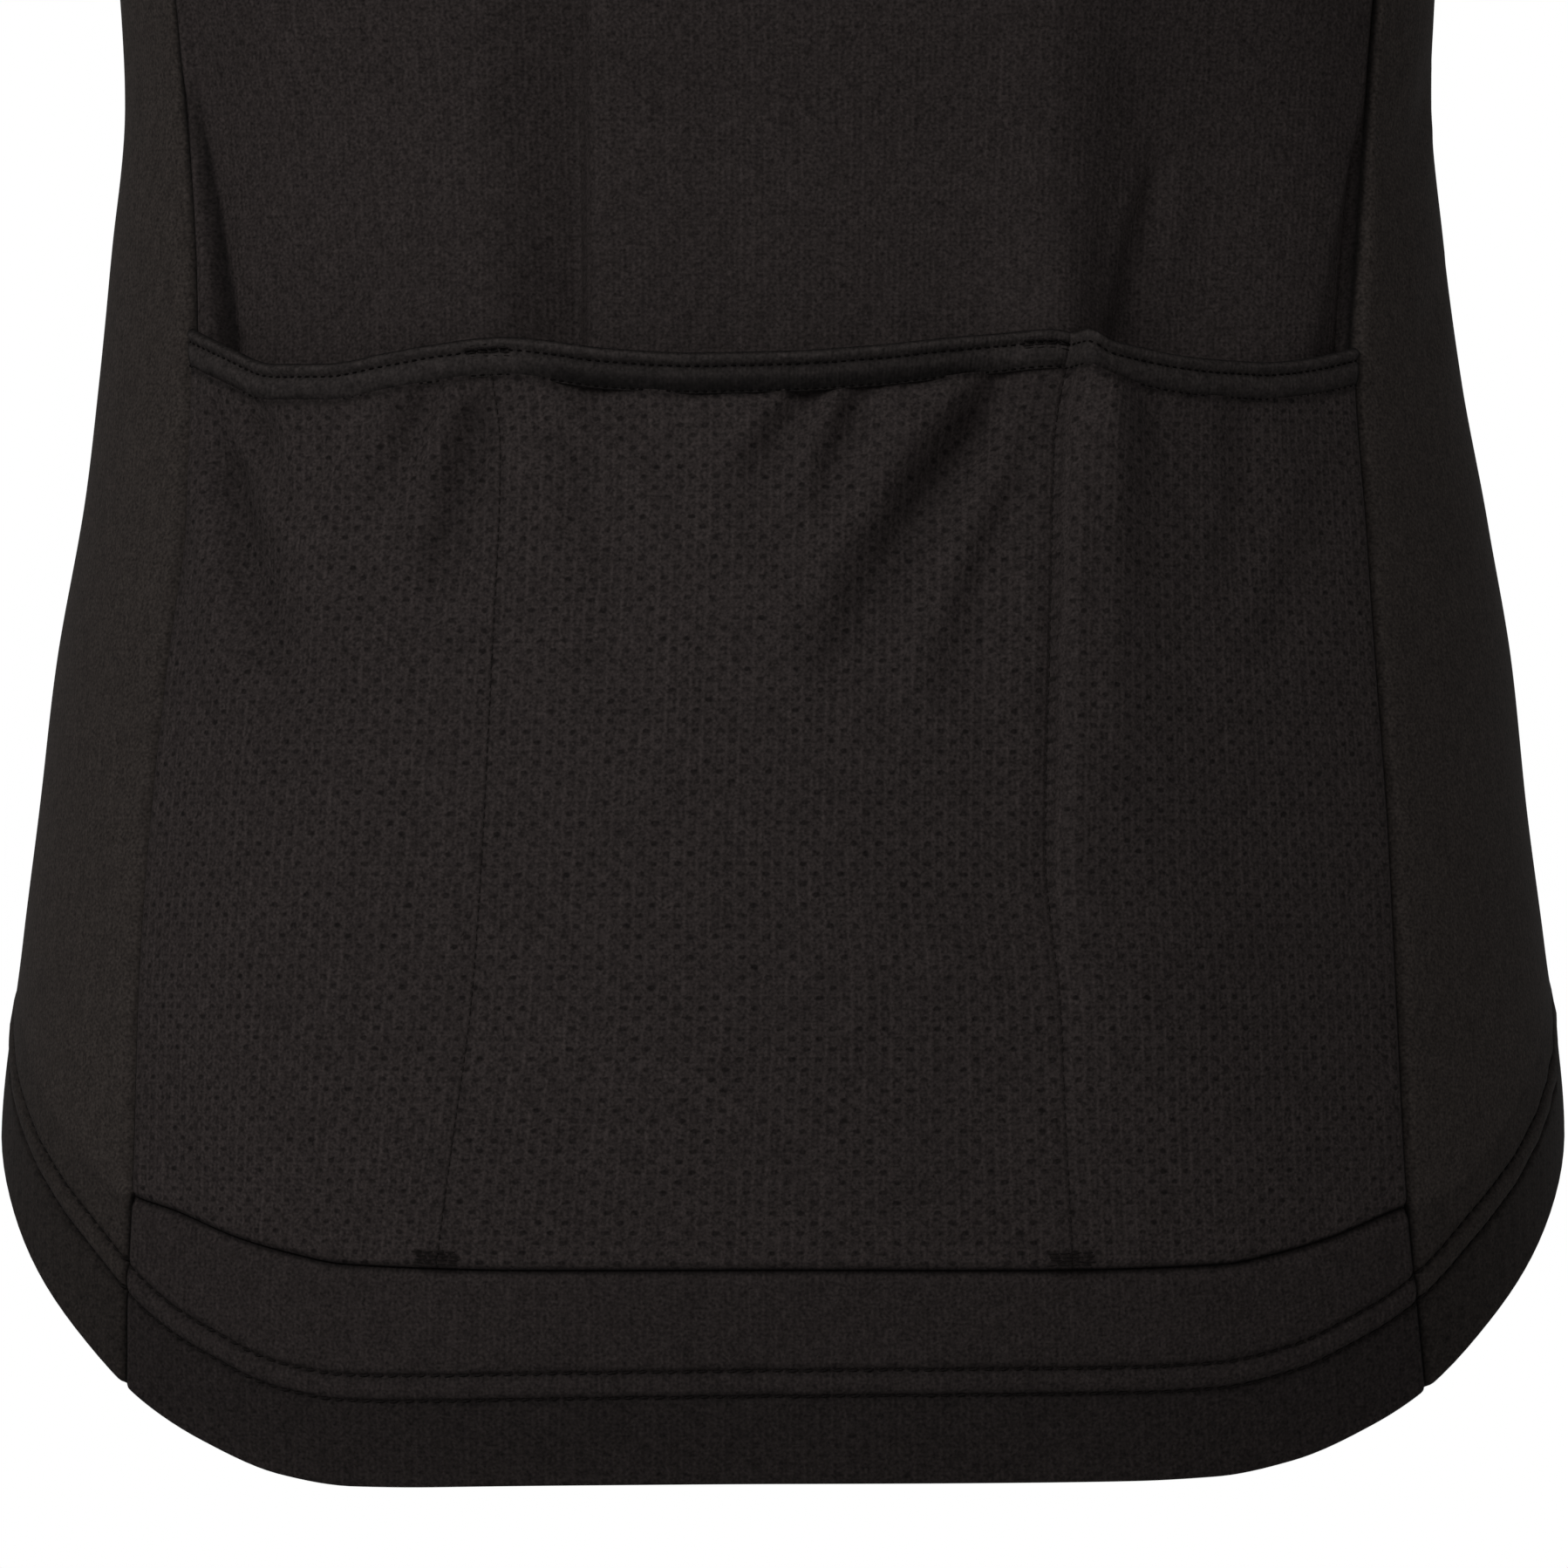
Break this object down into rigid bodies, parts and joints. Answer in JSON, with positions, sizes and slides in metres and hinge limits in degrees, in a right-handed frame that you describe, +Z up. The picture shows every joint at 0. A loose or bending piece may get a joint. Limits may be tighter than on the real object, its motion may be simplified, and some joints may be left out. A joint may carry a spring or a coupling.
{
  "type": "cycling jersey",
  "caption": "Short-sleeved cycling jersey with a stand collar, full-length front zip, elastic cuffs, a dropped tail and open pockets across the lower back.",
  "frame": {"origin": "middle of the neck, level with the points where the shoulder seams meet the collar", "axes": "+Z up along the neck, the front of the jersey faces -Y, the wearer's left is +X"},
  "size_m": [0.727, 0.2574, 0.7414],
  "materials": {
    "mesh_knit": "matte honeycomb mesh knit",
    "plain_knit": "matte smooth stretch knit",
    "elastic": "matte elastic band",
    "zip_tape": "woven tape with a nylon coil",
    "zip_plastic": "satin black"
  },
  "bodies": {
    "jersey": {"back_panel": "mesh_knit", "pocket_panel": "mesh_knit", "front_left": "mesh_knit", "front_right": "mesh_knit", "side_panel_left": "plain_knit", "side_panel_right": "plain_knit", "sleeve_left": "plain_knit", "sleeve_right": "plain_knit", "collar": "plain_knit", "pocket_binding": "elastic", "cuff_left": "elastic", "cuff_right": "elastic", "zip_tape_left": "zip_tape", "zip_tape_right": "zip_tape", "zip_slider": "zip_plastic"},
    "pull_tab": {"zip_pull": "zip_plastic"}
  },
  "joints": [
    {"name": "pull_tab_hinge", "type": "hinge", "parent": "jersey", "child": "pull_tab", "pos_m": [0, -0.07044, -0.04437], "axis": [-1, 0, 0], "range_deg": [0, 165]}
  ]
}
